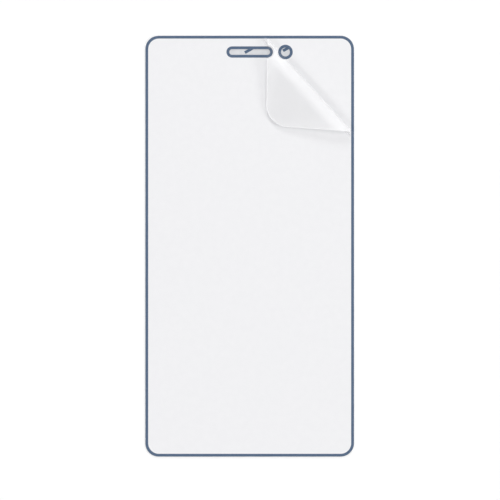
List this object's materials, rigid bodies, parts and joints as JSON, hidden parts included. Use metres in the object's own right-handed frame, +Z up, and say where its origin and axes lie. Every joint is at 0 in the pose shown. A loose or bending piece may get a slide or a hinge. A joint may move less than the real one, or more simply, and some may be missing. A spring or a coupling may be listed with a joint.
{
  "type": "phone screen protector",
  "caption": "Flat matte film cut to a phone's front, with earpiece and camera openings, a printed edge line, a backing liner and a clear cover sheet peeled back at a corner.",
  "frame": {"origin": "middle of the underside, on the surface it lies on", "axes": "+Z up from the surface, +Y along the length to the earpiece end, +X to the side with the camera opening and the peeled corner"},
  "size_m": [0.07, 0.1412, 0.0029],
  "materials": {
    "liner": "light grey backing film, satin",
    "film": "milky matte film",
    "print": "blue-grey printed line, matt",
    "cover": "clear glossy cover sheet"
  },
  "bodies": {
    "root": {"release_liner": "liner", "protector_film": "film", "edge_print": "print", "cover_sheet": "cover"}
  },
  "joints": []
}
